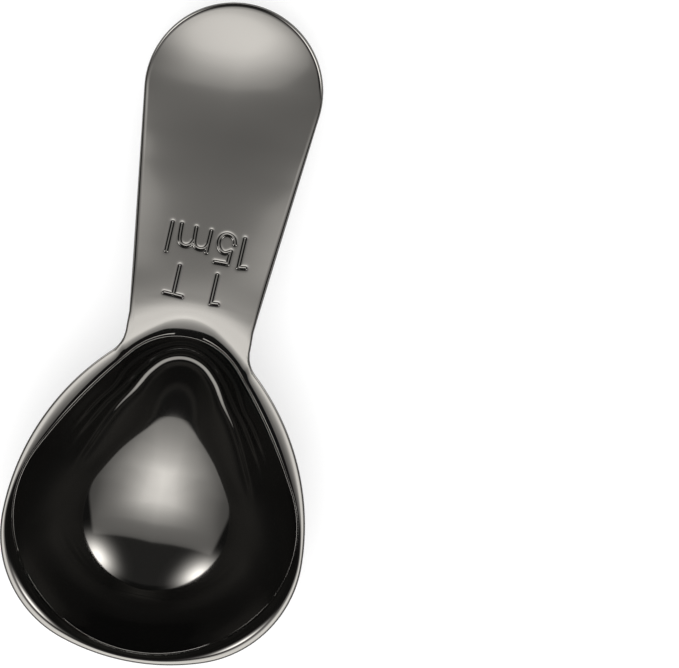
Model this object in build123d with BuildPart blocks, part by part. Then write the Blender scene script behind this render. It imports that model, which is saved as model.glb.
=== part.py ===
from build123d import *
from dataclasses import dataclass, fields
from math import acos, atan2, cos, degrees, hypot, pi, radians, sin, sqrt
import os

# A one tablespoon measuring spoon: a deep rounded bowl, its rim, a short neck and a wide handle.
#
# Millimetres. +Z is up and +Y runs from the bowl towards the tip of the handle. The origin is the
# middle of the small flat under the bowl. The real spoon is one moulding, kept here as four solids
# that meet face to face at the natural lines of the mould.

os.makedirs("parts", exist_ok=True)


@dataclass(frozen=True)
class Loop:
    """A closed outline of the bowl, mirrored about the Y axis: four radii that run into each other.

    end_flatness is how much the radius of the far end exceeds half the width.
    """
    end: float
    nose: float
    half_width: float
    end_flatness: float
    corner_radius: float
    side_radius: float
    nose_radius: float

    def scaled(self, share):
        """The same outline with every length multiplied by share."""
        return Loop(*(getattr(self, item.name) * share for item in fields(self)))

    def grown(self, margin):
        """The parallel outline that lies margin outside this one."""
        flatness = self.end_flatness
        return Loop(**{
            item.name: flatness if item.name == "end_flatness" else getattr(self, item.name) + margin
            for item in fields(self)
        })

    def stepped(self, steps, share=1):
        """This outline with share of the steps added to its lengths."""
        return Loop(*(getattr(self, item.name) + getattr(steps, item.name) * share for item in fields(self)))

    def side_center(self, corner_center, nose_center):
        """The centre of the long side arc, which touches the corner arc and the nose arc from outside."""
        to_corner = self.side_radius - self.corner_radius
        to_nose = self.side_radius - self.nose_radius
        apart_x = nose_center[0] - corner_center[0]
        apart_y = nose_center[1] - corner_center[1]
        apart = hypot(apart_x, apart_y)
        along = (to_corner ** 2 - to_nose ** 2 + apart ** 2) / (2 * apart)
        across = sqrt(to_corner ** 2 - along ** 2)
        return (
            corner_center[0] + (along * apart_x - across * apart_y) / apart,
            corner_center[1] + (along * apart_y + across * apart_x) / apart,
        )

    def draw(self):
        """Draws the outline as six tangent arcs and fills it, inside the sketch that is open."""
        end_radius = self.half_width + self.end_flatness
        end_center = (0, end_radius - self.end)
        nose_center = (0, self.nose - self.nose_radius)
        corner_x = self.half_width - self.corner_radius
        corner_drop = sqrt((end_radius - self.corner_radius) ** 2 - corner_x ** 2)
        corner_center = (corner_x, end_center[1] - corner_drop)
        side_center = self.side_center(corner_center, nose_center)
        low = direction(end_center, corner_center)
        middle = direction(side_center, corner_center)
        high = direction(side_center, nose_center)
        with BuildLine() as outline:
            CenterArc(end_center, end_radius, -180 - low, 180 + 2 * low)
            CenterArc(corner_center, self.corner_radius, low, middle - low)
            CenterArc(side_center, self.side_radius, middle, high - middle)
            CenterArc(nose_center, self.nose_radius, high, 180 - 2 * high)
            CenterArc((-side_center[0], side_center[1]), self.side_radius, 180 - high, high - middle)
            CenterArc((-corner_center[0], corner_center[1]), self.corner_radius, 180 - middle, middle - low)
        make_face(outline.edges())


def direction(start, finish):
    """The angle in degrees of the line from start to finish."""
    return degrees(atan2(finish[1] - start[1], finish[0] - start[0]))


# Outline of the mouth, seen from above: the line where the rim's rounding meets the wall of the bowl
mouth_loop = Loop(
    end=22.6, nose=25.2, half_width=21.3,
    end_flatness=0.7, corner_radius=17.2, side_radius=86.0, nose_radius=10.6,
)
# From there out to the crest, the highest line, where the rim starts to round over
crest_steps = Loop(
    end=0.95, nose=3.4, half_width=0.85,
    end_flatness=8.15, corner_radius=0.1, side_radius=-38.0, nose_radius=-4.6,
)
# From the mouth out to the edge of the rim
rim_steps = Loop(
    end=1.5, nose=2.1, half_width=1.4,
    end_flatness=10.7, corner_radius=0.3, side_radius=-48.5, nose_radius=-2.0,
)
crest_loop = mouth_loop.stepped(crest_steps)
rim_loop = mouth_loop.stepped(rim_steps)

# Bowl
bowl_depth = 17.6
floor_radius = 23.0
floor_angle = 35.0
wall_thickness = 1.4
base_flat_depth = 0.35
rounding_depth = 1.2
rim_chamfer = 0.3

# Neck and handle, seen from above
handle_reach = 75.9
handle_end_radius = 13.4
neck_width = 18.8
neck_straight_margin = 0.2
neck_root_margin = 1.4
neck_length = 8.0
shoulder_fillet = 4.5

# Rim, neck and handle, seen from the side: one blade of even thickness
blade_thickness = 2.0
handle_drop = 4.84
handle_crown = 1.4
edge_chamfer = 0.5
overrun = 1.0
cubic_mm_per_ml = 1000

# Places along the handle, from its root to its tip, with the share of the drop and of the crown
station_shares = (0.0, 0.13, 0.40, 0.675, 0.79, 1.0)
drop_shares = (0.0, 0.123, 0.468, 0.92, 1.0, 0.879)
crown_shares = (0.0, 0.25, 0.9, 1.0, 1.0, 1.0)
# Places down the wall and the floor of the bowl, as shares of the wall's height and of the floor's angle
wall_shares = (0.0, 0.15, 0.3, 0.45, 0.6, 0.75, 0.9)
floor_shares = (1.0, 0.85, 0.7, 0.55, 0.4, 0.25, 0.12)
# The rounding of the rim, as shares of its quarter turn
rounding_shares = (0.0, 0.5, 1.0)

rim_top = bowl_depth + wall_thickness - base_flat_depth
rim_underside = rim_top - blade_thickness
neck_straight_end = rim_loop.nose + neck_straight_margin
neck_root = crest_loop.nose + neck_root_margin
neck_end = neck_root + neck_length


def meridian():
    """The line from the mouth down to the floor, as places with a reach share, a depth and a slope.

    It is an arc of the floor radius up to the floor angle, then one wider arc up to the mouth.
    """
    reach = (mouth_loop.end + mouth_loop.nose) / 2
    start = radians(floor_angle)
    floor_reach = floor_radius * sin(start)
    floor_rise = floor_radius * (1 - cos(start))
    wall_reach = reach - floor_reach
    wall_rise = bowl_depth - rounding_depth - floor_rise
    finish = 2 * atan2(wall_rise, wall_reach) - start
    wall_radius = hypot(wall_reach, wall_rise) / (2 * sin((finish - start) / 2))
    places = []
    for share in wall_shares:
        slope = finish + (start - finish) * share
        out = reach - wall_radius * (sin(finish) - sin(slope))
        depth = rounding_depth + wall_radius * (cos(slope) - cos(finish))
        places.append((out / reach, depth, slope))
    for share in floor_shares:
        slope = start * share
        places.append((floor_radius * sin(slope) / reach, bowl_depth - floor_radius * (1 - cos(slope)), slope))
    return places


def tangent_angle(center, radius, point):
    """The angle, seen from the centre of a circle, where a line from a point below it just touches it."""
    away = hypot(point[0] - center[0], point[1] - center[1])
    return radians(direction(center, point)) + acos(radius / away)


# The hollow of the bowl below the mouth line
with BuildPart() as hollow:
    for reach_share, depth, slope in meridian():
        with BuildSketch(Plane.XY.offset(rim_top - depth)):
            mouth_loop.scaled(reach_share).draw()
    loft(ruled=True)

# The rounding from the mouth line up to the crest of the rim, a quarter of an ellipse in section
with BuildPart() as rounding:
    for share in rounding_shares:
        turn = share * pi / 2
        with BuildSketch(Plane.XY.offset(rim_top - rounding_depth * (1 - sin(turn)))):
            mouth_loop.stepped(crest_steps, 1 - cos(turn)).draw()
    loft(ruled=True)

capacity = (hollow.part.volume + rounding.part.volume) / cubic_mm_per_ml
print(f"filled level with its rim, the bowl holds {capacity:.2f} ml")

# The bowl's shell, with an even wall outside the hollow and a small flat to stand on
with BuildPart() as bowl:
    for reach_share, depth, slope in meridian():
        with BuildSketch(Plane.XY.offset(rim_top - depth - wall_thickness * cos(slope))):
            mouth_loop.scaled(reach_share).grown(wall_thickness * sin(slope)).draw()
    loft(ruled=True)
    split(bisect_by=Plane.XY.offset(rim_underside), keep=Keep.BOTTOM)
    split(bisect_by=Plane.XY, keep=Keep.TOP)
    add(hollow.part, mode=Mode.SUBTRACT)
bowl.part.label = "bowl"
export_step(bowl.part, "parts/bowl.step")

# Seen from above, the sides of the handle are lines that touch the round of its end, down to the neck
end_center = (0, handle_reach - handle_end_radius)
neck_corner = (neck_width / 2, neck_straight_end)
taper = tangent_angle(end_center, handle_end_radius, neck_corner)
end_corner = (
    end_center[0] + handle_end_radius * cos(taper),
    end_center[1] + handle_end_radius * sin(taper),
)
root_share = (neck_root - neck_straight_end) / (end_corner[1] - neck_straight_end)
root_corner = (neck_corner[0] + (end_corner[0] - neck_corner[0]) * root_share, neck_root)

# The rim, with the root of the neck
with BuildPart() as rim:
    with BuildSketch(Plane.XY.offset(rim_underside)):
        rim_loop.draw()
        with BuildLine():
            Polyline((0, 0), (neck_corner[0], 0), neck_corner, root_corner, (0, neck_root))
            mirror(about=Plane.YZ)
        make_face()
        inner_corners = [
            corner for corner in vertices()
            if abs(abs(corner.X) - neck_width / 2) < wall_thickness and 0 < corner.Y < neck_straight_end
        ]
        fillet(inner_corners, shoulder_fillet)
    extrude(amount=blade_thickness)
    outer_edges = [
        edge for edge in faces().filter_by(Axis.Z).edges()
        if edge.center().Y < neck_root - overrun
    ]
    chamfer(outer_edges, rim_chamfer)
    add(rounding.part, mode=Mode.SUBTRACT)
    add(hollow.part, mode=Mode.SUBTRACT)
rim.part.label = "rim"
export_step(rim.part, "parts/rim.step")

# The blade of the neck and handle, crowned across and drooping along its length
with BuildPart() as blade:
    half_reach = handle_end_radius + overrun
    for station_share, drop_share, crown_share in zip(station_shares, drop_shares, crown_shares):
        station = neck_root + (handle_reach - neck_root) * station_share
        top = rim_top - handle_drop * drop_share
        sag = handle_crown * crown_share * (half_reach / handle_end_radius) ** 2
        with BuildSketch(Plane.XZ.offset(-station)):
            with BuildLine():
                if sag > 0:
                    upper = ThreePointArc((-half_reach, top - sag), (0, top), (half_reach, top - sag))
                    lower = ThreePointArc(
                        (half_reach, top - sag - blade_thickness),
                        (0, top - blade_thickness),
                        (-half_reach, top - sag - blade_thickness),
                    )
                else:
                    upper = Line((-half_reach, top), (half_reach, top))
                    lower = Line((half_reach, top - blade_thickness), (-half_reach, top - blade_thickness))
                Line(upper @ 1, lower @ 0)
                Line(lower @ 1, upper @ 0)
            make_face()
    loft()
    with BuildSketch(Plane.XY):
        with BuildLine():
            tip = ThreePointArc(end_corner, (0, handle_reach), (-end_corner[0], end_corner[1]))
            Polyline(tip @ 1, (-neck_corner[0], neck_corner[1]), neck_corner, tip @ 0)
        make_face()
    extrude(amount=rim_top + overrun, mode=Mode.INTERSECT)
    upper_and_lower = [
        face for face in faces()
        if face.bounding_box().size.X > neck_width - overrun and face.bounding_box().size.Y > neck_root
    ]
    blade_edges = [
        edge for face in upper_and_lower for edge in face.edges()
        if edge.center().Y > neck_root + overrun
    ]
    chamfer(blade_edges, edge_chamfer)

with BuildPart() as neck:
    add(blade.part)
    split(bisect_by=Plane.XZ.offset(-neck_end), keep=Keep.TOP)
neck.part.label = "neck"
export_step(neck.part, "parts/neck.step")

with BuildPart() as handle:
    add(blade.part)
    split(bisect_by=Plane.XZ.offset(-neck_end), keep=Keep.BOTTOM)
handle.part.label = "handle"
export_step(handle.part, "parts/handle.step")
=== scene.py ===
"""The looks of a one tablespoon measuring spoon, with its floor, its light and its camera.

Metres. +Z is up, +Y runs from the bowl towards the tip of the handle, and the origin is under the
bowl. The whole skin is first laid out as a flat blank with the bowl in it. Geometry Nodes then sink
the marks and bend the neck and the handle, as a press would, and the skin is parted into bowl, rim,
neck and handle.
"""

import logging
import math
from dataclasses import dataclass, fields, replace
from enum import Enum

import bmesh
import bpy
import numpy as np
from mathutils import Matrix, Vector


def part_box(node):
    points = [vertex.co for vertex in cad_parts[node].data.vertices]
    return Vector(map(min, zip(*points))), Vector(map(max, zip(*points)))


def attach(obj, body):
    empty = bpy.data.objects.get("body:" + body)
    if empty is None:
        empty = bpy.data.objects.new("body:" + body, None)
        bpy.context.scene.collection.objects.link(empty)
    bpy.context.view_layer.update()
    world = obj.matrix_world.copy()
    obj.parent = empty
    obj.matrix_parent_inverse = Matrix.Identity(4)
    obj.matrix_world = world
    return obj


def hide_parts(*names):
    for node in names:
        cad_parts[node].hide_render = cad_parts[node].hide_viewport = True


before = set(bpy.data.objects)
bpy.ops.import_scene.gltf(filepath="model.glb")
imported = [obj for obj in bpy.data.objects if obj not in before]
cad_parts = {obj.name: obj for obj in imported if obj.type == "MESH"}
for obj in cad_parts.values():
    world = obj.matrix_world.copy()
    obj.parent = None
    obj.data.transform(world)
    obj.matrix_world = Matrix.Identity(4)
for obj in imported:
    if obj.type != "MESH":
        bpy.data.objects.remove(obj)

LOG = logging.getLogger("measuring_spoon")
MM = 0.001
QUARTER = math.pi / 2
EIGHTH = math.pi / 4
WHITE = (1.0, 1.0, 1.0, 1.0)
SECTION_SCALE = 1e-5
GROOVE_STEEPNESS = 4.0
TRACE_POINTS = 700
FILLET_POINTS = TRACE_POINTS // 4
WELD_DECIMALS = 5

Array = np.ndarray
Socket = bpy.types.NodeSocket
Inputs = dict[str | int, object]


class Piece(Enum):
    """The four solids that the moulding is kept as, by the name of their node."""

    BOWL = "bowl"
    RIM = "rim"
    NECK = "neck"
    HANDLE = "handle"


Caps = list[tuple[tuple[Piece, Piece], list]]


def bearing(vector: Array) -> float:
    """Returns the direction of a vector in the plane, from +X towards +Y."""
    return math.atan2(vector[1], vector[0])


def arc(center: Array, radius: float, start: float, finish: float, count: int) -> Array:
    """Traces a circular arc from one direction to another, a row for each point."""
    turn = np.linspace(start, finish, count)
    return center + radius * np.column_stack([np.cos(turn), np.sin(turn)])


def ease(value: Array | float, start: float, finish: float) -> Array | float:
    """Returns how far a value has come from start to finish, from 0 to 1 with soft ends."""
    share = np.clip((value - start) / (finish - start), 0.0, 1.0)
    return share * share * (3 - 2 * share)


def raised(plan: Array, height: Array | float) -> Array:
    """Returns the points of a plan at a height."""
    high = np.broadcast_to(height, plan.shape[:-1])
    return np.concatenate([plan, high[..., None]], axis=-1)


def placed(name: str, data: bpy.types.ID) -> bpy.types.Object:
    """Returns a new object in the scene that shows the data."""
    made = bpy.data.objects.new(name, data)
    bpy.context.scene.collection.objects.link(made)
    return made


def polar_reach(right_half: Array, angles: Array) -> Array:
    """Measures a mirrored outline in polar form.

    Args:
        right_half: points of its right half.
        angles: directions, measured from +Y towards +X.

    Returns:
        The distance from the origin in each direction.
    """
    turn = np.arctan2(right_half[:, 0], right_half[:, 1])
    order = np.argsort(turn)
    away = np.hypot(right_half[:, 0], right_half[:, 1])
    return np.interp(np.abs(angles), turn[order], away[order])


def smooth_line(knots: Array, values: Array, places: Array) -> Array:
    """Draws a smooth line through given values.

    Args:
        knots: places of the values.
        values: the values.
        places: where the line is read.

    Returns:
        The value at each place.
    """
    gap = np.diff(knots)
    rise = np.diff(values) / gap
    inner = (rise[1:] * gap[:-1] + rise[:-1] * gap[1:]) / (gap[1:] + gap[:-1])
    slope = np.concatenate([[rise[0]], inner, [rise[-1]]])
    cell = np.clip(np.searchsorted(knots, places) - 1, 0, len(gap) - 1)
    t = (places - knots[cell]) / gap[cell]
    h = gap[cell]
    return (
        (1 + 2 * t) * (1 - t) ** 2 * values[cell] + t * (1 - t) ** 2 * h * slope[cell]
        + t ** 2 * (3 - 2 * t) * values[cell + 1] + t ** 2 * (t - 1) * h * slope[cell + 1]
    )


@dataclass(frozen=True)
class Loop:
    """A closed outline of the bowl: four radii that run into each other, mirrored about the Y axis."""

    end: float
    nose: float
    half_width: float
    end_radius: float
    corner_radius: float
    side_radius: float
    nose_radius: float

    def grown(self, margin: float) -> "Loop":
        """Returns the parallel outline that lies a margin outside this one."""
        return replace(self, **{item.name: getattr(self, item.name) + margin for item in fields(self)})

    def side_center(self, corner: Array, nose: Array) -> Array:
        """Finds the centre of the long side arc, which touches the corner arc and the nose arc.

        Args:
            corner: centre of the corner arc.
            nose: centre of the nose arc.

        Returns:
            The centre of the side arc, on the far side of the Y axis.
        """
        to_corner = self.side_radius - self.corner_radius
        to_nose = self.side_radius - self.nose_radius
        apart = nose - corner
        length = np.hypot(*apart)
        along = (to_corner ** 2 - to_nose ** 2 + length ** 2) / (2 * length)
        across = math.sqrt(to_corner ** 2 - along ** 2)
        forward = apart / length
        sideways = np.array([-forward[1], forward[0]])
        found = [corner + forward * along + sideways * side * across for side in (1, -1)]
        return min(found, key=lambda center: center[0])

    def right_half(self) -> Array:
        """Traces the right half, from the middle of the far end to the middle of the nose.

        Returns:
            The points of its four arcs, one row each.
        """
        end = np.array([0.0, self.end_radius - self.end])
        nose = np.array([0.0, self.nose - self.nose_radius])
        corner_x = self.half_width - self.corner_radius
        drop = math.sqrt((self.end_radius - self.corner_radius) ** 2 - corner_x ** 2)
        corner = np.array([corner_x, end[1] - drop])
        side = self.side_center(corner, nose)
        radii = (self.end_radius, self.corner_radius, self.side_radius, self.nose_radius)
        turns = (-QUARTER, bearing(corner - end), bearing(corner - side), bearing(nose - side), QUARTER)
        arcs = zip((end, corner, side, nose), radii, turns[:-1], turns[1:])
        return np.vstack([arc(*given, TRACE_POINTS) for given in arcs])

    def reach(self, angles: Array) -> Array:
        """Returns how far the outline lies from the origin, in directions from +Y towards +X."""
        return polar_reach(self.right_half(), angles)


RIM_LOOP = Loop(
    end=24.1 * MM, nose=27.3 * MM, half_width=22.7 * MM,
    end_radius=34.1 * MM, corner_radius=17.5 * MM, side_radius=37.5 * MM, nose_radius=8.6 * MM,
)
CREST_LOOP = Loop(
    end=23.6 * MM, nose=28.4 * MM, half_width=22.3 * MM,
    end_radius=31.0 * MM, corner_radius=17.3 * MM, side_radius=42.0 * MM, nose_radius=7.0 * MM,
)
MOUTH_LOOP = Loop(
    end=22.6 * MM, nose=25.2 * MM, half_width=21.3 * MM,
    end_radius=22.0 * MM, corner_radius=17.2 * MM, side_radius=86.0 * MM, nose_radius=10.6 * MM,
)
MOUTH_REACH = (MOUTH_LOOP.end + MOUTH_LOOP.nose) / 2


@dataclass(frozen=True)
class HandlePlan:
    """The neck and the handle as seen from above."""

    reach: float = 75.9 * MM
    end_radius: float = 13.4 * MM
    neck_half_width: float = 9.4 * MM
    straight_end: float = 27.5 * MM
    root: float = 30.0 * MM
    neck_end: float = 38.0 * MM
    shoulder_fillet: float = 4.5 * MM

    def end_center(self) -> Array:
        """Returns the centre of the round end."""
        return np.array([0.0, self.reach - self.end_radius])

    def neck_corner(self) -> Array:
        """Returns the point where the neck starts to widen."""
        return np.array([self.neck_half_width, self.straight_end])

    def taper(self) -> float:
        """Returns the direction, from the centre of the round end, where the side line touches it."""
        away = self.neck_corner() - self.end_center()
        return bearing(away) + math.acos(self.end_radius / np.hypot(*away))

    def end_corner(self) -> Array:
        """Returns the point where the side line runs into the round end."""
        turn = self.taper()
        return self.end_center() + self.end_radius * np.array([math.cos(turn), math.sin(turn)])

    def half_width(self, y: Array | float) -> Array | float:
        """Returns half the width of the blade at a place on its straight sides."""
        corner, end = self.neck_corner(), self.end_corner()
        return corner[0] + (end[0] - corner[0]) * (y - corner[1]) / (end[1] - corner[1])


@dataclass(frozen=True)
class HandleForm:
    """The neck and the handle as seen from the side, as slopes at places along them, and across.

    The blade folds down along an arc round the bowl. The wide end is a shallow dish for the thumb.
    """

    places: tuple = (
        29.2, 29.9, 30.6, 32.0, 34.5, 38.0, 42.0, 47.0, 52.0, 56.0, 59.5, 62.5, 65.0, 67.5, 70.0, 73.0, 76.5,
    )
    slopes: tuple = (
        0.0, 2.57, 5.86, 7.0, 8.2, 9.05, 9.3, 10.15, 12.01, 12.28, 10.24, 7.16, 3.31, -0.22, -2.56, -2.03, 5.95,
    )
    fold: float = 0.02925 / MM
    dish: tuple = (
        (30.0, 0.0), (34.0, 0.72), (38.0, 2.89), (44.0, 6.59), (50.0, 11.21), (55.0, 14.66), (60.0, 14.6),
        (64.0, 11.11), (68.0, 6.26), (72.0, 2.2), (76.5, -1.38),
    )
    twist: tuple = ((30.0, 0.0), (42.0, -0.44), (55.0, -0.19), (65.0, 1.18), (76.5, 4.2))
    steps: int = 400

    def spine(self) -> Array:
        """Follows the slopes from the root to the tip.

        Returns:
            Places along the handle and the height there, below the root, one row each.
        """
        y = np.linspace(self.places[0], self.places[-1], self.steps)
        fall = np.tan(np.radians(smooth_line(np.array(self.places), np.array(self.slopes), y)))
        z = -np.concatenate([[0.0], np.cumsum((fall[1:] + fall[:-1]) / 2 * (y[1] - y[0]))])
        return np.column_stack([np.zeros_like(y), y, z]) * MM

    def section(self) -> Array:
        """Follows the shape across the blade from the root to the tip.

        Returns:
            The dish in 1/m, the place along the handle and the twist, one row each. Dish and twist are
            made small, so that the line stays nearly straight and its length is the handle's.
        """
        y = np.linspace(self.places[0], self.places[-1], self.steps)
        inside = np.maximum(y, self.dish[0][0])
        dish = smooth_line(*np.array(self.dish).T, inside)
        twist = np.radians(smooth_line(*np.array(self.twist).T, inside))
        return np.column_stack([dish * SECTION_SCALE, y * MM, twist * SECTION_SCALE])


@dataclass(frozen=True)
class WallStep:
    """A faint soft step in the inside of the bowl's wall, which runs round the handle's side of it."""

    line: tuple
    width: float
    least_slope: float
    fade: tuple
    nudge: float = 0.5

    def fall(self, turn: Array, reach: Array, rise: Array) -> Array:
        """Measures how far the step lowers or raises the wall.

        Args:
            turn: directions of the columns.
            reach: how far out the wall is looked at.
            rise: how steep the wall is there, outwards.

        Returns:
            The fall, which is below nought on the inner side of the step.
        """
        degrees = np.degrees(np.abs(turn))
        line = np.array(self.line).T
        before, away, after = (smooth_line(*line, degrees + self.nudge * side) for side in (-1, 0, 1))
        slant = (after - before) / math.radians(2 * self.nudge) / away
        square = 1 / np.sqrt(1 + slant ** 2)
        apart = (reach - away * MM) * square
        least = math.tan(math.radians(self.least_slope))
        depth = np.maximum(rise / square - least, 0.0) * (1 - ease(degrees, *self.fade))
        return depth * apart * np.exp(-(apart / self.width) ** 2)


@dataclass(frozen=True)
class BowlForm:
    """The bowl as seen in section."""

    depth: float = 17.6 * MM
    floor_radius: float = 23.0 * MM
    floor_angle: float = math.radians(35.0)
    mouth_depth: float = 1.2 * MM
    mouth_pull: int = 6
    wall: float = 1.4 * MM
    lip_angles: tuple = (math.radians(36.0), math.radians(50.0))
    lip_powers: tuple = (2.4, 5.0)
    lip_change: tuple = (math.radians(80.0), math.radians(108.0))
    corner: float = 0.22 * MM
    low_reach: tuple = (
        (-22.0, 21.8), (0.0, 21.7), (22.0, 21.8), (45.0, 21.4), (61.0, 21.3), (80.0, 21.9), (95.0, 22.45),
        (115.0, 23.9), (134.0, 24.8), (150.0, 25.2), (165.0, 25.3), (180.0, 25.3), (195.0, 25.3),
    )
    roundness: float = 0.7
    round_up_to: tuple = (0.45, 0.95)
    steps: tuple = (
        WallStep(
            ((-8.0, 21.15), (0.0, 21.85), (8.0, 21.15), (13.8, 19.8), (22.1, 17.5), (32.9, 15.8), (44.7, 14.5),
             (57.7, 13.7), (71.6, 13.6), (90.0, 14.2), (180.0, 14.2)), 0.65 * MM, 30.5, (58.0, 84.0),
        ),
        WallStep(
            ((-9.0, 22.35), (0.0, 23.3), (9.0, 22.35), (17.9, 20.2), (26.8, 18.2), (38.0, 16.9), (49.8, 16.0),
             (62.3, 15.7), (90.0, 16.2), (180.0, 16.2)), 0.42 * MM, 32.5, (42.0, 74.0),
        ),
        WallStep(
            ((-12.0, 22.9), (0.0, 24.1), (12.0, 22.9), (23.1, 20.8), (30.6, 18.9), (41.5, 17.8), (53.0, 17.1),
             (65.0, 16.9), (90.0, 17.4), (180.0, 17.4)), 0.34 * MM, 32.7, (40.0, 66.0),
        ),
    )
    floor_rings: int = 16
    wall_rings: int = 100
    lip_rings: int = 18
    lip_samples: int = 200
    edge_margin: float = 0.05 * MM
    corner_rings: int = 4

    def meridian(self) -> Array:
        """Samples the inside from the middle of the floor up to the mouth.

        Returns:
            For each ring its reach as a share of the mouth's, its depth and its slope.
        """
        start = self.floor_angle
        wall_reach = MOUTH_REACH - self.floor_radius * math.sin(start)
        wall_rise = self.depth - self.mouth_depth - self.floor_radius * (1 - math.cos(start))
        finish = 2 * math.atan2(wall_rise, wall_reach) - start
        radius = math.hypot(wall_reach, wall_rise) / (2 * math.sin((finish - start) / 2))
        low = np.linspace(0.0, start, self.floor_rings)
        high = np.linspace(start, finish, self.wall_rings)[1:]
        floor = np.column_stack([
            self.floor_radius * np.sin(low) / MOUTH_REACH,
            self.depth - self.floor_radius * (1 - np.cos(low)),
            low,
        ])
        wall = np.column_stack([
            1 - radius * (math.sin(finish) - np.sin(high)) / MOUTH_REACH,
            self.mouth_depth + radius * (np.cos(high) - math.cos(finish)),
            high,
        ])
        return np.vstack([floor, wall])

    def plan(self, share: float, turn: Array) -> Array:
        """Draws the bowl's plan, which is rounder low down than at the mouth.

        Args:
            share: how far out, as a share of the mouth's reach.
            turn: directions of the columns.

        Returns:
            The reach in each direction.
        """
        low = smooth_line(*np.array(self.low_reach).T, np.degrees(np.abs(turn))) * MM
        blend = 1 - self.roundness * (1 - ease(share, *self.round_up_to))
        return share * (MOUTH_LOOP.reach(turn) * blend + low * (1 - blend))

    def lip(self, turn: Array) -> tuple[Array, Array]:
        """Samples the rounding of the rim from the crest down to the mouth.

        It is gentle on the handle's side of the bowl and quick round the far side.

        Args:
            turn: directions of the columns.

        Returns:
            Each ring's distance from the crest, and its depth there in each direction, as shares of the
            lip's width.
        """
        q = np.linspace(0.0, 1.0, self.lip_samples)
        depths: list[Array] = []
        for angle, power in zip(self.lip_angles, self.lip_powers):
            fall = np.tan(angle * (1 - (1 - q) ** power))
            depths.append(np.concatenate([[0.0], np.cumsum((fall[1:] + fall[:-1]) / 2) * (q[1] - q[0])]))
        rings = np.linspace(0.0, 1.0, self.lip_rings)
        near, far = (np.interp(rings, q, depth)[:, None] for depth in depths)
        return rings, near + (far - near) * ease(np.abs(turn), *self.lip_change)


@dataclass(frozen=True)
class Net:
    """How finely the skin is laid out."""

    neck_columns: int = 125
    rim_columns: int = 150
    neck_rows: int = 100
    marked_rows: int = 56
    marked_step: float = 0.08 * MM
    handle_rows: int = 70
    parting_ring: int = 3
    flat_rings: int = 5
    edge_rings: int = 7
    under_rings: int = 24
    rim_thickness: float = 2.0 * MM
    rim_fillet: float = 0.32 * MM
    handle_fillet: float = 0.75 * MM
    fillet_change: float = 12.0 * MM


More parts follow.
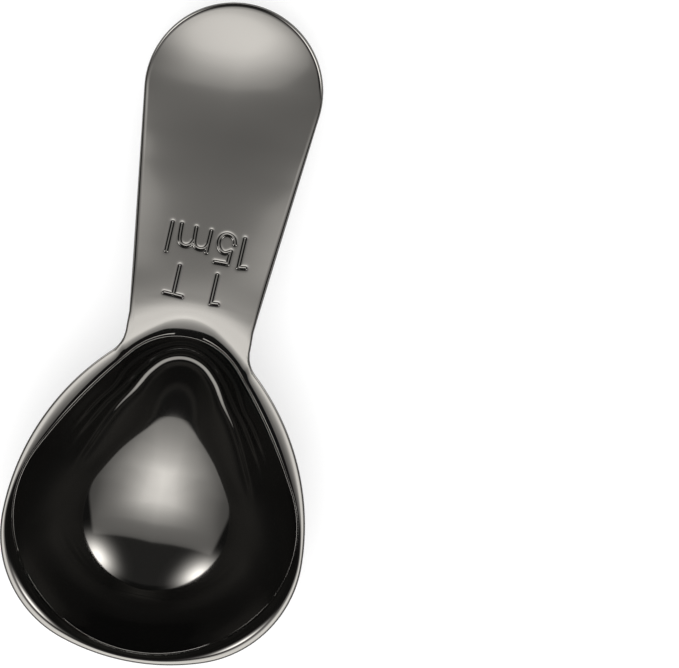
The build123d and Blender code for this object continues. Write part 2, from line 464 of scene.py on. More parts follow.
class Skin:
    """The closed skin of the whole spoon, laid out flat apart from its bowl."""

    def __init__(self, bowl: BowlForm, plan: HandlePlan, net: Net, rim_top: float) -> None:
        """Lays the skin out.

        Args:
            bowl: the bowl in section.
            plan: neck and handle from above.
            net: how finely it is laid out.
            rim_top: height of the crest of the rim.
        """
        self.bowl, self.plan, self.net, self.rim_top = bowl, plan, net, rim_top
        self.patches: list[tuple[Piece, Array]] = []
        self.caps: list[tuple[tuple[Piece, Piece], Array]] = []
        self.sector = 2 * net.neck_columns + 1
        self.turn = self.columns()
        self.way = np.column_stack([np.sin(self.turn), np.cos(self.turn)])
        right, tip, left = self.handle_edge()
        self.side = len(right)
        self.left_root = 2 * self.side + self.sector - 3
        outer = polar_reach(self.shoulder(), self.turn)
        edge = (self.way * outer[:, None])[self.sector - 1:][::-1]
        edge[0] = left[-1]
        self.draw_inset(np.vstack([line[:-1] for line in (right, tip, left, edge)]))
        self.lay_bowl()
        self.lay_handle()
        self.lay_edge()

    def columns(self) -> Array:
        """Returns the directions of the columns of the bowl, from the left root corner round to it again."""
        corner = self.plan.half_width(self.plan.root)
        neck = np.arctan2(np.linspace(-corner, corner, self.sector), self.plan.root)
        half = np.linspace(neck[-1], math.pi, self.net.rim_columns + 1)
        return np.concatenate([neck, half[1:], -half[1:-1][::-1], neck[:1]])

    def shoulder(self) -> Array:
        """Traces the right half of the rim, with the shoulder and the side of the neck up to its root."""
        loop = RIM_LOOP.right_half()
        fillet = self.plan.shoulder_fillet
        grown = RIM_LOOP.grown(fillet).right_half()
        beside = self.plan.neck_half_width + fillet
        upper = grown[grown[:, 1] > 0]
        order = np.argsort(upper[:, 0])
        center = np.array([beside, np.interp(beside, upper[order, 0], upper[order, 1])])
        touch = int(np.argmin(np.hypot(*(loop - center).T)))
        start = bearing(loop[touch] - center) % (2 * math.pi)
        turn = arc(center, fillet, start, math.pi, FILLET_POINTS)
        root = (self.plan.half_width(self.plan.root), self.plan.root)
        return np.vstack([loop[:touch + 1], turn, self.plan.neck_corner(), root])

    def handle_edge(self) -> tuple[Array, Array, Array]:
        """Traces the edge of neck and handle, anticlockwise from the right root corner.

        Returns:
            The right side, the middle of the round end and the left side.
        """
        plan, net = self.plan, self.net
        rows = np.linspace(plan.root, plan.neck_end, net.neck_rows + 1)
        neck = np.column_stack([plan.half_width(rows), rows])
        straight = np.hypot(*(plan.end_corner() - neck[-1]))
        taper = plan.taper()
        bend = (EIGHTH - taper) * plan.end_radius
        marked = np.arange(1, net.marked_rows + 1) * net.marked_step
        walk = np.concatenate([marked, np.linspace(marked[-1], straight + bend, net.handle_rows + 1)[1:]])
        along = (plan.end_corner() - neck[-1]) / straight
        on_line = neck[-1] + along * np.minimum(walk, straight)[:, None]
        turn = taper + np.maximum(walk - straight, 0.0) / plan.end_radius
        on_arc = plan.end_center() + plan.end_radius * np.column_stack([np.cos(turn), np.sin(turn)])
        right = np.vstack([neck, np.where((walk <= straight)[:, None], on_line, on_arc)])
        tip = arc(plan.end_center(), plan.end_radius, EIGHTH, 3 * EIGHTH, self.sector)
        return right, tip, (right * (-1, 1))[::-1]

    def draw_inset(self, boundary: Array) -> None:
        """Draws the line where the top starts to round over, from the closed outline of the whole spoon."""
        along = np.roll(boundary, -1, axis=0) - np.roll(boundary, 1, axis=0)
        along /= np.hypot(*along.T)[:, None]
        self.normal = np.column_stack([along[:, 1], -along[:, 0]])
        half_change = self.net.fillet_change / 2
        share = ease(boundary[:, 1], self.plan.root - half_change, self.plan.root + half_change)
        self.fillet = self.net.rim_fillet + (self.net.handle_fillet - self.net.rim_fillet) * share
        self.inset = boundary - self.normal * self.fillet[:, None]

    def ring(self, reach: Array, height: Array | float) -> Array:
        """Returns one ring of points round the bowl at a reach and a height."""
        return raised(self.way * reach[:, None], height)

    def flats(self, start: Array, goal: Array, height: float) -> list[Array]:
        """Returns the level rings that run from one plan out to another."""
        shares = np.linspace(0.0, 1.0, self.net.flat_rings + 1)[1:]
        return [raised(start + (goal - start) * share, height) for share in shares]

    def lay_bowl(self) -> None:
        """Lays the inside of the bowl, the lip and the flat of the rim, then the outside of the bowl."""
        bowl, turn, sector = self.bowl, self.turn, self.sector
        goal = np.empty((len(turn), 2))
        goal[sector - 1:] = np.vstack([self.inset[self.left_root:], self.inset[:1]])[::-1]
        goal[:sector] = np.linspace(goal[-1], goal[sector - 1], sector)
        crest = np.minimum(CREST_LOOP.reach(turn), np.hypot(*goal.T) - bowl.edge_margin)
        lip_width = crest - MOUTH_LOOP.reach(turn)
        widths, depths = bowl.lip(turn)
        mouth_depth = lip_width * depths[-1]
        meridian = bowl.meridian()
        rings: list[Array] = []
        for share, depth, slope in meridian:
            height = (bowl.depth - depth) / (bowl.depth - bowl.mouth_depth)
            local = depth + (mouth_depth - bowl.mouth_depth) * height ** bowl.mouth_pull
            reach = bowl.plan(share, turn)
            if share > bowl.round_up_to[0]:
                rise = math.tan(slope) * share * MOUTH_REACH / reach
                local = local + sum(step.fall(turn, reach, rise) for step in bowl.steps)
            rings.append(self.ring(reach, self.rim_top - local))
        split = len(rings) - self.net.parting_ring
        for width, depth in zip(widths[::-1], depths[::-1]):
            rings.append(self.ring(crest - lip_width * width, self.rim_top - lip_width * depth))
        rings = self.soften(rings, len(meridian) - 1)
        rings += self.flats(rings[-1][:, :2], goal, self.rim_top)
        self.root_line = rings[-1][:sector, :2]
        top = np.stack(rings)
        self.patches += [(Piece.BOWL, top[:split + 1]), (Piece.RIM, top[split:])]
        self.lay_under(goal, top[split])

    def soften(self, rings: list[Array], mouth: int) -> list[Array]:
        """Rounds the crisp line of the mouth with a small curve.

        Args:
            rings: the rings from the floor to the crest, the mouth's twice.
            mouth: index of the mouth's first ring.

        Returns:
            The rings with the mouth's replaced by a few close ones.
        """
        corner = rings[mouth]
        below, above = rings[mouth - 1] - corner, rings[mouth + 2] - corner
        start, finish = (
            corner + way / np.linalg.norm(way, axis=1)[:, None] * self.bowl.corner for way in (below, above)
        )
        curve = [
            start * (1 - t) ** 2 + corner * 2 * t * (1 - t) + finish * t ** 2
            for t in np.linspace(0.0, 1.0, self.bowl.corner_rings + 1)
        ]
        return rings[:mouth] + curve + rings[mouth + 2:]

    def lay_under(self, goal: Array, joint: Array) -> None:
        """Lays the outside of the bowl and the underside of the rim, and the joint between the two.

        Args:
            goal: where the flat underside ends, in plan.
            joint: the ring of the inside at which bowl and rim part.
        """
        bowl = self.bowl
        share, depth, slope = bowl.meridian().T
        low = self.rim_top - depth - bowl.wall * np.cos(slope)
        underside = self.rim_top - self.net.rim_thickness
        widest = np.hypot(*goal.T) - bowl.edge_margin
        first, last = np.interp((0.0, underside), low, slope)
        rings = [np.zeros((len(goal), 3))]
        for angle in np.linspace(first, last, self.net.under_rings):
            reach = bowl.plan(float(np.interp(angle, slope, share)), self.turn) + bowl.wall * math.sin(angle)
            rings.append(self.ring(np.minimum(reach, widest), max(float(np.interp(angle, slope, low)), 0.0)))
        edge = rings[-1]
        self.patches.append((Piece.BOWL, np.stack(rings)))
        self.patches.append((Piece.RIM, np.stack([edge, *self.flats(edge[:, :2], goal, underside)])))
        self.caps.append(((Piece.BOWL, Piece.RIM), np.stack([joint, edge])))

    def lay_handle(self) -> None:
        """Lays the top and the underside of neck and handle, and the joints at both ends of the neck."""
        rows, side, tip = self.net.neck_rows, self.side, self.sector
        right = self.inset[:side]
        end = self.inset[side - 1:side - 1 + tip][::-1]
        left = self.inset[side + tip - 2:2 * side + tip - 2][::-1]
        neck = np.stack([np.linspace(left[row], right[row], tip) for row in range(rows + 1)])
        neck[0] = self.root_line
        handle = self.coons(neck[-1], end, left[rows:], right[rows:])
        heights = (self.rim_top, self.rim_top - self.net.rim_thickness)
        top, under = ([raised(plan, high) for plan in (neck, handle)] for high in heights)
        for level in (top, under):
            self.patches += zip((Piece.NECK, Piece.HANDLE), level)
        for pair, part in (((Piece.RIM, Piece.NECK), 0), ((Piece.NECK, Piece.HANDLE), 1)):
            self.caps.append((pair, np.stack([top[part][0], under[part][0]])))

    def coons(self, low: Array, high: Array, left: Array, right: Array) -> Array:
        """Fills four joined edges with a grid that follows all of them.

        Args:
            low: the first row.
            high: the last row.
            left: the first column.
            right: the last column.

        Returns:
            The grid, rows by columns.
        """
        u = np.linspace(0.0, 1.0, len(low))[None, :, None]
        walked = np.concatenate([[0.0], np.cumsum(np.hypot(*np.diff(left, axis=0).T))])
        v = (walked / walked[-1])[:, None, None]
        ruled = (1 - v) * low[None] + v * high[None] + (1 - u) * left[:, None] + u * right[:, None]
        corners = (
            (1 - u) * (1 - v) * low[0] + u * (1 - v) * low[-1] + (1 - u) * v * high[0] + u * v * high[-1]
        )
        return ruled - corners

    def lay_edge(self) -> None:
        """Lays the rounded edge all the way round, in stretches that belong to one piece each."""
        rise = np.linspace(0.0, QUARTER, self.net.edge_rings)
        out = np.concatenate([np.sin(rise), np.sin(rise)[::-1]])
        down = np.concatenate([1 - np.cos(rise), (np.cos(rise) - 1)[::-1]])
        base = np.repeat([self.rim_top, self.rim_top - self.net.rim_thickness], self.net.edge_rings)
        plan = self.inset + self.normal * self.fillet[:, None] * out[:, None, None]
        strip = raised(plan, base[:, None] - self.fillet * down[:, None])
        strip = np.concatenate([strip, strip[:, :1]], axis=1)
        rows, last = self.net.neck_rows, self.left_root
        stops = (0, rows, last - rows, last, strip.shape[1] - 1)
        for piece, start, finish in zip((Piece.NECK, Piece.HANDLE, Piece.NECK, Piece.RIM), stops, stops[1:]):
            self.patches.append((piece, strip[:, start:finish + 1]))
        for pair, places in (
            ((Piece.RIM, Piece.NECK), (0, last)), ((Piece.NECK, Piece.HANDLE), (rows, last - rows)),
        ):
            self.caps += [(pair, strip[:, place][None]) for place in places]


class Shader:
    """A small hand for wiring nodes together in any tree."""

    def __init__(self, tree: bpy.types.NodeTree) -> None:
        """Takes the tree that the nodes go into."""
        self.tree = tree

    def feed(self, made: bpy.types.Node, inputs: Inputs) -> None:
        """Links sockets to a node's inputs, or sets plain values on them.

        Args:
            made: the node.
            inputs: what goes in, by the input's name or place.
        """
        for place, given in inputs.items():
            if isinstance(given, Socket):
                self.tree.links.new(given, made.inputs[place])
            else:
                made.inputs[place].default_value = given

    def node(self, kind: str, inputs: Inputs | None = None, **settings: object) -> bpy.types.Node:
        """Adds a node.

        Args:
            kind: the node's type.
            inputs: what goes in, by the input's name or place.
            settings: properties to set on it.

        Returns:
            The node.
        """
        made = self.tree.nodes.new(kind)
        for name, value in settings.items():
            setattr(made, name, value)
        self.feed(made, inputs or {})
        return made

    def math(self, operation: str, *values: object, clamp: bool = False) -> Socket:
        """Adds a Math node.

        Args:
            operation: what it does.
            values: its inputs, sockets or numbers.
            clamp: whether the result stays between 0 and 1.

        Returns:
            Its output.
        """
        inputs = dict(enumerate(values))
        return self.node("ShaderNodeMath", inputs, operation=operation, use_clamp=clamp).outputs[0]

    def chain(self, operation: str, first: object, *others: object) -> Socket:
        """Runs a value through the same operation with each of the others in turn and returns the result."""
        for other in others:
            first = self.math(operation, first, other)
        return first

    def degrees(self, operation: str, value: object) -> Socket:
        """Takes the angle of a sine or cosine, in degrees."""
        return self.math("MULTIPLY", self.math(operation, value), 180 / math.pi)

    def ramp(self, value: Socket, start: float, finish: float, low: float, high: float, kind: str) -> Socket:
        """Maps a range to another one.

        Args:
            value: what is mapped.
            start: where the range starts.
            finish: where it ends.
            low: the result at its start.
            high: the result at its end.
            kind: how the result runs between them.

        Returns:
            The result, which stays between low and high.
        """
        inputs = {"Value": value, "From Min": start, "From Max": finish, "To Min": low, "To Max": high}
        return self.node("ShaderNodeMapRange", inputs, interpolation_type=kind).outputs["Result"]

    def noise(self, place: Socket, scale: float, detail: float) -> Socket:
        """Adds a noise texture and returns its value."""
        inputs = {"Vector": place, "Scale": scale, "Detail": detail}
        return self.node("ShaderNodeTexNoise", inputs).outputs["Fac"]

    def bump(self, height: Socket, distance: float, under: Socket | None) -> Socket:
        """Adds a bump on top of another one and returns the bent normal."""
        below = {} if under is None else {"Normal": under}
        return self.node("ShaderNodeBump", {"Distance": distance, "Height": height, **below}).outputs["Normal"]

    def curve(self, value: Socket, low: float, high: float, points: tuple) -> Socket:
        """Reads a value off a curve drawn through given points.

        Args:
            value: what is looked up.
            low: the value at the curve's left end.
            high: the value at its right end.
            points: (value, result) pairs, from left to right, results between 0 and 1.

        Returns:
            The result.
        """
        made = self.node("ShaderNodeFloatCurve", {"Value": self.ramp(value, low, high, 0.0, 1.0, "LINEAR")})
        made.mapping.extend = "HORIZONTAL"
        line = made.mapping.curves[0]
        while len(line.points) < len(points):
            line.points.new(0.5, 0.5)
        for point, (place, result) in zip(line.points, points):
            point.location = ((place - low) / (high - low), result)
            point.handle_type = "AUTO_CLAMPED"
        made.mapping.update()
        return made.outputs["Value"]


@dataclass(frozen=True)
class BlackPlastic:
    """Glossy black plastic, straight from the mould."""

    color: tuple = (0.0025, 0.0025, 0.0024)
    sheen_tint: tuple = (1.0, 0.96, 0.895)
    ior: float = 2.3
    roughness: tuple = (0.045, 0.075)
    cloud_range: tuple = (0.3, 0.7)
    cloud_scale: float = 60.0
    cloud_detail: float = 3.0
    fine_detail: float = 2.0
    wave_scale: float = 38.0
    wave_height: float = 0.004 * MM
    grain_scale: float = 1400.0
    grain_height: float = 0.00025 * MM

    def material(self) -> bpy.types.Material:
        """Builds the material.

        Returns:
            The material, with its sheen and its faint unevenness from nodes.
        """
        made = bpy.data.materials.new("black_plastic")
        made.use_nodes = True
        tree = Shader(made.node_tree)
        place = tree.node("ShaderNodeTexCoord").outputs["Object"]
        cloud = tree.noise(place, self.cloud_scale, self.cloud_detail)
        wave = tree.noise(place, self.wave_scale, self.fine_detail)
        grain = tree.noise(place, self.grain_scale, self.fine_detail)
        tree.feed(made.node_tree.nodes["Principled BSDF"], {
            "Base Color": (*self.color, 1.0), "Specular Tint": (*self.sheen_tint, 1.0), "IOR": self.ior,
            "Roughness": tree.ramp(cloud, *self.cloud_range, *self.roughness, "LINEAR"),
            "Normal": tree.bump(grain, self.grain_height, tree.bump(wave, self.wave_height, None)),
        })
        return made


@dataclass(frozen=True)
class WhitePaper:
    """Dull white paper for the floor, which the camera sees somewhat brighter than it is lit."""

    color: tuple = (0.58, 0.58, 0.58)
    glow: float = 0.46

    def material(self) -> bpy.types.Material:
        """Builds the material.

        Returns:
            The material, which keeps the spoon's shadow.
        """
        made = bpy.data.materials.new("white_paper")
        made.use_nodes = True
        tree = Shader(made.node_tree)
        rays = tree.node("ShaderNodeLightPath")
        tree.feed(made.node_tree.nodes["Principled BSDF"], {
            "Base Color": (*self.color, 1.0), "Roughness": 1.0, "Specular IOR Level": 0.0, "Emission Color": WHITE,
            "Emission Strength": tree.math("MULTIPLY", rays.outputs["Is Camera Ray"], self.glow),
        })
        return made


class GeometryTree(Shader):
    """A Geometry Nodes tree with named inputs."""

    def __init__(self, name: str) -> None:
        """Starts an empty tree with a name."""
        super().__init__(bpy.data.node_groups.new(name, "GeometryNodeTree"))
        self.identifiers: dict[str, str] = {}
        self.tree.interface.new_socket(name="Geometry", in_out="OUTPUT", socket_type="NodeSocketGeometry")
        self.geometry = self.take("Geometry", "NodeSocketGeometry")

    def take(self, name: str, kind: str = "NodeSocketFloat") -> Socket:
        """Adds a named input.

        Args:
            name: its name.
            kind: its type.

        Returns:
            The socket that gives its value inside the tree.
        """
        made = self.tree.interface.new_socket(name=name, in_out="INPUT", socket_type=kind)
        self.identifiers[name] = made.identifier
        return self.node("NodeGroupInput").outputs[name]

    def drawn(self, name: str) -> Socket:
        """Returns the curve of an object that is a named input."""
        holder = self.node("GeometryNodeObjectInfo", {"Object": self.take(name, "NodeSocketObject")})
        return holder.outputs["Geometry"]

    def guide(self, name: str, share: Socket) -> bpy.types.Node:
        """Reads a place off a guide curve, which is an input of the tree.

        Args:
            name: the input's name.
            share: how far along the curve.

        Returns:
            The node that gives the place's three parts.
        """
        sample = self.node("GeometryNodeSampleCurve", {0: self.drawn(name), "Factor": share}, mode="FACTOR")
        return self.node("ShaderNodeSeparateXYZ", {0: sample.outputs["Position"]})

    def groove(self) -> Socket:
        """Measures how deep the marks are sunk, by the distance to the nearest pen stroke.

        Returns:
            The depth, with soft shoulders beside the stroke.
        """
        line = self.node("GeometryNodeCurveToMesh", {"Curve": self.drawn("Strokes")})
        near = self.node("GeometryNodeProximity", {0: line.outputs["Mesh"]}, target_element="EDGES")
        share = self.math("DIVIDE", near.outputs["Distance"], self.take("Groove"))
        fall = self.math("ADD", self.math("POWER", share, GROOVE_STEEPNESS), 1.0)
        return self.math("DIVIDE", self.take("Depth"), fall)

    def finish(self, geometry: Socket, material: Socket) -> None:
        """Ends the tree with smooth faces, realised instances and the material.

        Args:
            geometry: what the tree has made.
            material: the material's socket.
        """
        for kind in ("SetShadeSmooth", "RealizeInstances", "SetMaterial"):
            made = self.node(f"GeometryNode{kind}", {"Geometry": geometry})
            geometry = made.outputs["Geometry"]
        self.feed(made, {"Material": material})
        self.node("NodeGroupOutput", {"Geometry": geometry})

    def apply(self, holder: bpy.types.Object, values: dict[str, object]) -> bpy.types.Mesh:
        """Runs the tree on an object.

        Args:
            holder: the object whose shape the tree starts from.
            values: the inputs by name.

        Returns:
            The result as a plain mesh. The object keeps no modifier.
        """
        modifier = holder.modifiers.new(self.tree.name, "NODES")
        modifier.node_group = self.tree
        for name, value in values.items():
            modifier[self.identifiers[name]] = value
        graph = bpy.context.evaluated_depsgraph_get()
        mesh = bpy.data.meshes.new_from_object(holder.evaluated_get(graph), depsgraph=graph)
        holder.modifiers.remove(modifier)
        return mesh


def forming_tree() -> GeometryTree:
    """Builds the tree that sinks the marks, folds the flat blade along its spine, dishes and twists it.

    Returns:
        The tree, with the inputs Root, Tip, Fold, Spine, Section, Strokes, Groove, Depth and Material.
    """
    tree = GeometryTree("form_the_handle")
    position = tree.node("GeometryNodeInputPosition").outputs["Position"]
    place = tree.node("ShaderNodeSeparateXYZ", {0: position})
    x, y = place.outputs["X"], place.outputs["Y"]
    root, tip = tree.take("Root"), tree.take("Tip")
    length = tree.math("SUBTRACT", tip, root)
    walk = tree.math("SUBTRACT", y, root)
    aside = tree.math("MULTIPLY", x, x)
    ahead = tree.math("ADD", walk, tree.math("MULTIPLY", aside, tree.take("Fold")))
    drop = tree.guide("Spine", tree.math("DIVIDE", ahead, length, clamp=True))
    across = tree.guide("Section", tree.math("DIVIDE", walk, length, clamp=True))
    dish, turn = (tree.math("DIVIDE", across.outputs[name], SECTION_SCALE) for name in "XZ")
    lift = tree.math("MULTIPLY", dish, aside)
    lift = tree.chain("SUBTRACT", lift, tree.math("MULTIPLY", turn, x), tree.groove())
    shift = tree.node("ShaderNodeCombineXYZ", {"Z": tree.math("ADD", drop.outputs["Z"], lift)})
    moved = tree.node("GeometryNodeSetPosition", {"Geometry": tree.geometry, "Offset": shift.outputs["Vector"]})
    tree.finish(moved.outputs["Geometry"], tree.take("Material", "NodeSocketMaterial"))
    return tree


def drawn_curve(name: str, lines: list[Array]) -> bpy.types.Object:
    """Draws a curve object.

    Args:
        name: its name.
        lines: the points of each of its splines, one row each.

    Returns:
        The curve's object, linked to the scene.
    """
    curve = bpy.data.curves.new(name, "CURVE")
    curve.dimensions = "3D"
    for line in lines:
        spline = curve.splines.new("POLY")
        spline.points.add(len(line) - 1)
        for point, place in zip(spline.points, line):
            point.co = (*place, 1.0)
    return placed(name, curve)


@dataclass(frozen=True)
class CapacityMarks:
    """The sunk marks on neck and handle that say how much the bowl holds, in plain strokes.

    Every stroke is given by (across, along) places in mm. The marks are read from the handle's tip.
    """

    groove: float = 0.2 * MM
    depth: float = 0.25 * MM
    rounding: float = 0.25
    rounds: int = 3
    strokes: tuple = (
        ((-5.42, 41.61), (-5.60, 37.26)),
        ((0.51, 41.33), (0.33, 38.07)),
        ((0.40, 39.30), (0.10, 38.60), (-0.73, 38.30), (-1.50, 38.58), (-1.79, 39.40), (-1.79, 41.43)),
        ((-1.79, 39.50), (-2.20, 38.68), (-3.04, 38.36), (-3.78, 38.70), (-4.02, 39.49), (-4.02, 41.61)),
        (
            (4.32, 40.00), (4.10, 40.86), (3.12, 41.36), (2.15, 40.98), (1.79, 39.94), (2.15, 38.85), (3.02, 38.30),
            (3.92, 38.82), (3.77, 36.88), (1.82, 36.88),
        ),
        ((5.65, 41.06), (5.44, 36.62), (6.50, 36.74)),
        ((-3.19, 35.39), (-3.38, 31.15)),
        ((-4.77, 31.05), (-2.09, 30.88)),
        ((2.56, 35.00), (2.36, 30.62), (3.40, 30.70)),
    )
    crisp: tuple = ((3.92, 38.82), (3.77, 36.88), (5.44, 36.62), (2.36, 30.62))

    def pen(self, stroke: tuple) -> Array:
        """Rounds the corners of a stroke, apart from the crisp ones.

        Args:
            stroke: its places in mm.

        Returns:
            The points along it in mm, one row each.
        """
        line = np.array(stroke)
        for _ in range(self.rounds):
            kept = [line[0]]
            for before, spot, after in zip(line[:-2], line[1:-1], line[2:]):
                if any(np.allclose(spot, corner) for corner in self.crisp):
                    kept.append(spot)
                else:
                    kept.extend([spot + (before - spot) * self.rounding, spot + (after - spot) * self.rounding])
            line = np.array(kept + [line[-1]])
        return line

    def lines(self, level: float) -> list[Array]:
        """Returns the points of every stroke on the flat blade, whose top lies at a level."""
        return [raised(self.pen(stroke) * MM, level) for stroke in self.strokes]


def turn_outwards(mesh: bpy.types.Mesh) -> int:
    """Turns the faces of a closed mesh outwards.

    Args:
        mesh: the mesh.

    Returns:
        How many of its edges are open, which should be none.
    """
    work = bmesh.new()
    work.from_mesh(mesh)
    bmesh.ops.recalc_face_normals(work, faces=work.faces)
    open_edges = sum(not edge.is_manifold for edge in work.edges)
    work.to_mesh(mesh)
    work.free()
    return open_edges


@dataclass
class Spoon:
    """The spoon's moulding: bowl, rim, neck and handle."""

    bowl: BowlForm
    plan: HandlePlan
    form: HandleForm
    marks: CapacityMarks
    net: Net

    def build(self, finish: bpy.types.Material) -> dict[Piece, bpy.types.Object]:
        """Makes the four pieces, whose surfaces run into each other.

        Args:
            finish: the material.

        Returns:
            The pieces by name.
        """
        rim_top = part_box(Piece.RIM.value)[1].z
        blank, owners, caps = self.gather(Skin(self.bowl, self.plan, self.net, rim_top))
        formed = self.press(blank, rim_top, finish)
        made = {piece: self.part(piece, formed, owners, caps, finish) for piece in Piece}
        bpy.data.meshes.remove(formed)
        return made

    def gather(self, skin: Skin) -> tuple[bpy.types.Mesh, list[Piece], Caps]:
        """Welds the patches into one closed mesh.

        Args:
            skin: the patches.

        Returns:
            The mesh, the piece that each face belongs to, and the faces of the joints.
        """
        blocks = [block for _, block in skin.patches + skin.caps]
        points = np.concatenate([block.reshape(-1, 3) for block in blocks])
        near = np.round(points / MM, WELD_DECIMALS)
        _, first, index = np.unique(near, axis=0, return_index=True, return_inverse=True)
        stops = np.cumsum([block.shape[0] * block.shape[1] for block in blocks])[:-1]
        numbers = zip(np.split(index.reshape(-1), stops), blocks)
        grids = [number.reshape(block.shape[:2]) for number, block in numbers]
        faces: list[list[int]] = []
        owners: list[Piece] = []
        for (piece, _), grid in zip(skin.patches, grids):
            quads = self.quads(grid)
            faces += quads
            owners += [piece] * len(quads)
        caps = [
            (pair, self.quads(grid) if len(grid) > 1 else [grid[0].tolist()])
            for (pair, _), grid in zip(skin.caps, grids[len(skin.patches):])
        ]
        mesh = bpy.data.meshes.new("blank")
        mesh.from_pydata(points[first].tolist(), [], faces)
        LOG.info("skin: %d faces, %d open edges", len(faces), turn_outwards(mesh))
        return mesh, owners, caps

    def quads(self, grid: Array) -> list[list[int]]:
        """Lists the faces of a grid of point numbers, with the doubled corners at a pole left out."""
        faces: list[list[int]] = []
        for low, high in zip(grid[:-1].tolist(), grid[1:].tolist()):
            for corners in zip(low, low[1:], high[1:], high):
                face = [corner for spot, corner in enumerate(corners) if corner != corners[spot - 1]]
                if len(face) > 2:
                    faces.append(face)
        return faces

    def press(self, blank: bpy.types.Mesh, rim_top: float, finish: bpy.types.Material) -> bpy.types.Mesh:
        """Sinks the marks into the flat blade and forms it, with Geometry Nodes.

        Args:
            blank: the flat skin.
            rim_top: height of its top.
            finish: the material.

        Returns:
            The formed skin, a plain mesh.
        """
        holder = placed("blank", blank)
        helpers = {
            "Spine": drawn_curve("spine", [self.form.spine()]),
            "Section": drawn_curve("section", [self.form.section()]),
            "Strokes": drawn_curve("strokes", self.marks.lines(rim_top)),
        }
        sizes = {
            "Root": self.form.places[0] * MM, "Tip": self.form.places[-1] * MM, "Fold": self.form.fold,
            "Groove": self.marks.groove, "Depth": self.marks.depth,
        }
        formed = forming_tree().apply(holder, {**helpers, **sizes, "Material": finish})
        for used in (holder, *helpers.values()):
            bpy.data.objects.remove(used)
        return formed

    def part(
        self, piece: Piece, formed: bpy.types.Mesh, owners: list[Piece], caps: Caps, finish: bpy.types.Material,
    ) -> bpy.types.Object:
        """Takes one piece out of the skin, closes it and keeps the skin's own shading.

        Args:
            piece: which piece.
            formed: the whole skin.
            owners: the piece of each face.
            caps: the faces of the joints.
            finish: the material.

        Returns:
            The piece.
        """
        faces = [list(face.vertices) for face, owner in zip(formed.polygons, owners) if owner is piece]
        skin_faces = len(faces)
        for pair, extra in caps:
            if piece in pair:
                faces.extend(extra)
        used = sorted({vertex for face in faces for vertex in face})
        number = {vertex: spot for spot, vertex in enumerate(used)}
        mesh = bpy.data.meshes.new(f"{piece.value}_skin")
        points = [tuple(formed.vertices[vertex].co) for vertex in used]
        mesh.from_pydata(points, [], [[number[vertex] for vertex in face] for face in faces])
        open_edges = turn_outwards(mesh)
        mesh.materials.append(finish)
        mesh.polygons.foreach_set("use_smooth", [True] * len(mesh.polygons))
        shading: list[tuple[float, float, float]] = []
        for face in mesh.polygons:
            for corner in face.vertices:
                source = formed.vertices[used[corner]] if face.index < skin_faces else face
                shading.append(tuple(source.normal))
        mesh.normals_split_custom_set(shading)
        made = placed(f"{piece.value}_skin", mesh)
        LOG.info("%s: %d faces, %d open edges", made.name, len(faces), open_edges)
        return made


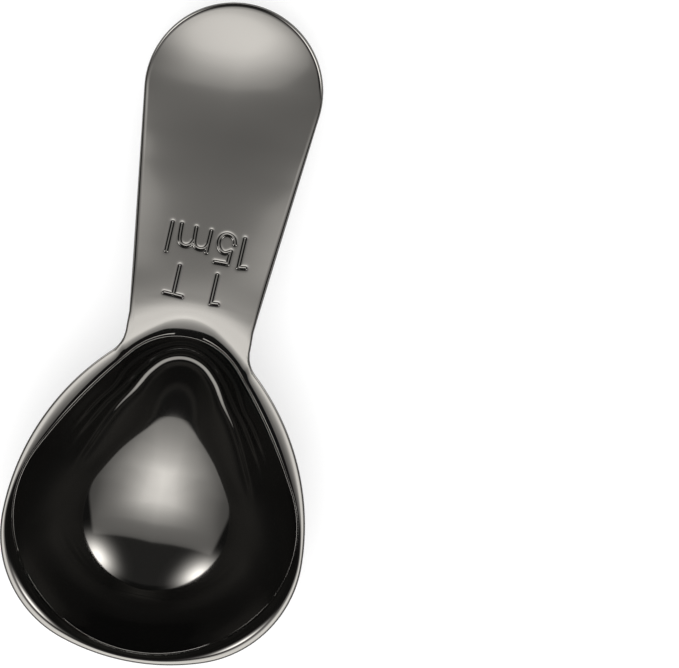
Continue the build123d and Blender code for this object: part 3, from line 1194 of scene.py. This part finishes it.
@dataclass(frozen=True)
class Surround:
    """The soft light all round: a wide panel with a brighter beam in it, two lamps and a little shade light.

    It goes by direction, in degrees: along is the angle from overhead towards the far end of the bowl,
    and aside is the angle from overhead to either side.
    """

    level: float = 0.7
    panel_light: float = 1.7
    beam_light: float = 5.1
    lamp_light: float = 11.5
    shade_light: float = 0.03
    second_mirror: float = 0.1
    first_bounces: float = 1.5
    foot: tuple = (0.375, 0.405)
    lean: float = 0.08
    taper: tuple = (15.0, 0.022, 0.67)
    corner: tuple = (63.0, 67.0)
    corner_cut: float = 0.6
    beam_shift: float = 1.0
    lamp_aim: tuple = (0.62, 0.71, 0.39)
    panel_along: tuple = (
        (-90.0, 0.045), (-30.1, 0.045), (-29.4, 0.36), (-21.0, 0.57), (-10.0, 0.6), (10.0, 0.588), (20.0, 0.706),
        (33.0, 1.0), (45.0, 0.765), (57.0, 0.588), (66.0, 0.47), (80.0, 0.294), (90.0, 0.235),
    )
    panel_aside: tuple = (
        (0.0, 1.0), (30.0, 0.95), (45.0, 0.85), (52.0, 0.7), (60.0, 0.5), (75.0, 0.35), (90.0, 0.3),
    )
    beam_along: tuple = (
        (-90.0, 0.0), (-28.0, 0.0), (-21.0, 0.02), (-15.0, 0.2), (-9.0, 0.42), (-3.0, 0.7), (3.0, 0.92),
        (9.0, 0.96), (15.0, 1.0), (21.0, 0.96), (27.0, 0.78), (33.0, 0.54), (39.0, 0.4), (45.0, 0.336),
        (51.0, 0.27), (57.0, 0.218), (63.0, 0.168), (75.0, 0.07), (90.0, 0.0),
    )
    beam_aside: tuple = (
        (0.0, 1.0), (10.0, 0.87), (20.0, 0.57), (30.0, 0.29), (40.0, 0.11), (52.0, 0.02), (60.0, 0.0), (90.0, 0.0),
    )
    lamp_spread: tuple = (
        (0.0, 1.0), (4.0, 0.88), (8.0, 0.62), (12.0, 0.34), (16.0, 0.15), (20.0, 0.05), (24.0, 0.01), (30.0, 0.0),
    )

    def panel(self, tree: Shader, along: Socket, wide: Socket) -> Socket:
        """Adds the wide panel, which narrows towards the horizon beyond the bowl.

        Args:
            tree: the world's tree.
            along: the angle along.
            wide: the angle aside, whatever the side.

        Returns:
            The panel's light.
        """
        start, gain, base = self.taper
        narrow = tree.math("ADD", tree.math("MULTIPLY", tree.math("MAXIMUM", along, start), gain), base)
        side = tree.curve(tree.math("MULTIPLY", wide, narrow), 0.0, 90.0, self.panel_aside)
        return tree.chain("MULTIPLY", tree.curve(along, -90.0, 90.0, self.panel_along), side, self.panel_light)

    def beam(self, tree: Shader, along: Socket, aside: Socket) -> Socket:
        """Adds the brighter beam in the middle of the panel.

        Args:
            tree: the world's tree.
            along: the angle along.
            aside: the angle aside.

        Returns:
            The beam's light.
        """
        near = tree.math("ABSOLUTE", tree.math("SUBTRACT", aside, self.beam_shift))
        side = tree.curve(near, 0.0, 90.0, self.beam_aside)
        return tree.chain("MULTIPLY", tree.curve(along, -90.0, 90.0, self.beam_along), side, self.beam_light)

    def cut(self, tree: Shader, along: Socket, wide: Socket) -> Socket:
        """Cuts the lower corners off the panel.

        Args:
            tree: the world's tree.
            along: the angle along.
            wide: the angle aside, whatever the side.

        Returns:
            The share of the light that is left.
        """
        below = tree.math("MAXIMUM", tree.math("MULTIPLY", along, -1.0), 0.0)
        past = tree.math("ADD", wide, tree.math("MULTIPLY", below, self.corner_cut))
        return tree.ramp(past, *self.corner, 1.0, 0.0, "SMOOTHSTEP")

    def lamp(self, tree: Shader, way: tuple, side: int) -> Socket:
        """Adds a soft lamp low beyond the handle, on one side.

        Args:
            tree: the world's tree.
            way: the direction's three sockets.
            side: -1 for the left lamp, 1 for the right one.

        Returns:
            The lamp's light in each direction.
        """
        aim = Vector((side * self.lamp_aim[0], *self.lamp_aim[1:])).normalized()
        facing = tree.chain("ADD", *(tree.math("MULTIPLY", part, share) for part, share in zip(way, aim)))
        apart = tree.degrees("ARCCOSINE", tree.math("MINIMUM", facing, 1.0))
        return tree.math("MULTIPLY", tree.curve(apart, 0.0, 30.0, self.lamp_spread), self.lamp_light)

    def build(self) -> None:
        """Makes the world. The camera sees plain white in it, and a second reflection is dimmed."""
        world = bpy.data.worlds.new("surround")
        bpy.context.scene.world = world
        world.use_nodes = True
        world.node_tree.nodes.clear()
        tree = Shader(world.node_tree)
        parts = tree.node("ShaderNodeSeparateXYZ", {0: tree.node("ShaderNodeTexCoord").outputs["Generated"]})
        way = x, y, z = tuple(parts.outputs[name] for name in "XYZ")
        aside = tree.degrees("ARCSINE", x)
        wide = tree.math("ABSOLUTE", aside)
        ahead = tree.degrees("ARCSINE", tree.math("MULTIPLY", y, -1.0))
        along = tree.math("SUBTRACT", ahead, tree.math("MULTIPLY", wide, self.lean))
        light = tree.math("ADD", self.panel(tree, along, wide), self.beam(tree, along, aside))
        foot = tree.ramp(z, *self.foot, 0.0, 1.0, "SMOOTHSTEP")
        light = tree.chain("MULTIPLY", light, foot, self.cut(tree, along, wide))
        light = tree.chain("ADD", light, *(self.lamp(tree, way, side) for side in (-1, 1)), self.shade_light)
        rays = tree.node("ShaderNodeLightPath")
        again = tree.math("GREATER_THAN", rays.outputs["Glossy Depth"], self.first_bounces)
        dim = tree.math("SUBTRACT", 1.0, tree.math("MULTIPLY", again, 1.0 - self.second_mirror))
        lit = tree.chain("MULTIPLY", light, self.level, dim)
        seen = rays.outputs["Is Camera Ray"]
        mix = tree.node("ShaderNodeMix", {"Factor": seen, 2: lit, 3: 1.0}, data_type="FLOAT")
        background = tree.node("ShaderNodeBackground", {"Color": WHITE, "Strength": mix.outputs[0]})
        tree.node("ShaderNodeOutputWorld", {"Surface": background.outputs[0]})


@dataclass(frozen=True)
class Studio:
    """The white floor and the camera."""

    floor_reach: float = 4.0
    floor_squares: int = 8
    camera_height: float = 1.0
    scale: float = 679 / (101.19 * MM)
    view_center: tuple = (22.06 * MM, 29.57 * MM)
    lean: float = math.radians(10.283)
    width_pixels: int = 679
    sensor: float = 36.0
    clip: tuple = (0.05, 20.0)

    def floor(self, paper: bpy.types.Material) -> bpy.types.Object:
        """Lays the floor.

        Args:
            paper: its material.

        Returns:
            The floor, which isn't part of the spoon.
        """
        mesh = bpy.data.meshes.new("floor")
        work = bmesh.new()
        squares = self.floor_squares
        bmesh.ops.create_grid(work, x_segments=squares, y_segments=squares, size=self.floor_reach)
        work.to_mesh(mesh)
        work.free()
        mesh.materials.append(paper)
        return placed("floor", mesh)

    def camera(self, level: float) -> None:
        """Hangs the camera straight above, turned so that the handle leans to the right.

        Args:
            level: the height of the rim, at which the scale holds.
        """
        data = bpy.data.cameras.new("camera")
        data.sensor_width = self.sensor
        data.lens = self.sensor * self.camera_height / (self.width_pixels / self.scale)
        data.clip_start, data.clip_end = self.clip
        made = placed("camera", data)
        made.location = (*self.view_center, level + self.camera_height)
        made.rotation_euler = (0.0, 0.0, self.lean)
        bpy.context.scene.camera = made


def main() -> None:
    """Builds the spoon and its studio, in order."""
    logging.basicConfig(level=logging.INFO, format="%(name)s: %(message)s")
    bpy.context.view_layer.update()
    scene = bpy.context.scene
    scene.view_settings.view_transform = "Standard"
    studio = Studio()
    studio.camera(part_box(Piece.RIM.value)[1].z)
    finish = BlackPlastic().material()
    spoon = Spoon(BowlForm(), HandlePlan(), HandleForm(), CapacityMarks(), Net())
    for piece, made in spoon.build(finish).items():
        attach(made, "root")
        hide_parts(piece.value)
        LOG.info("%s rides on root and stands for %s", made.name, piece.value)
    Surround().build()
    studio.floor(WhitePaper().material())


if __name__ == "__main__":
    main()
